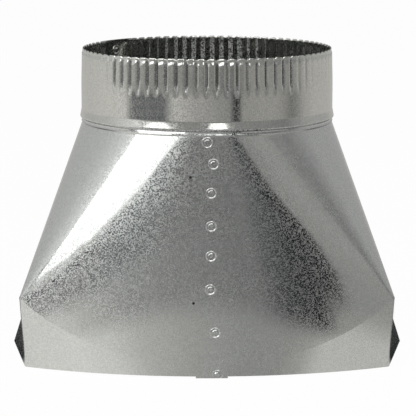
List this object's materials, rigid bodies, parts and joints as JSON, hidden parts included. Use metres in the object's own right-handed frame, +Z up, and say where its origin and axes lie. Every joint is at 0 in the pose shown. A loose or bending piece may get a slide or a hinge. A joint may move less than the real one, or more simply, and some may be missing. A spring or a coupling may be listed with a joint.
{
  "type": "duct transition",
  "caption": "Galvanised sheet-steel duct transition from a rectangular mouth to a round crimped collar, with a clinched lap seam.",
  "frame": {"origin": "on the floor plane that the rectangular mouth stands on, under the axis of the round collar", "axes": "+Z up along the collar's axis, +X along the mouth's long side, the lap seam faces -Y"},
  "size_m": [0.2866, 0.1796, 0.2224],
  "materials": {
    "body_sheet": "hot-dip galvanised with fine spangle",
    "collar_sheet": "hot-dip galvanised with fine spangle"
  },
  "bodies": {
    "root": {"transition_body": "body_sheet", "round_collar": "collar_sheet"}
  },
  "joints": []
}
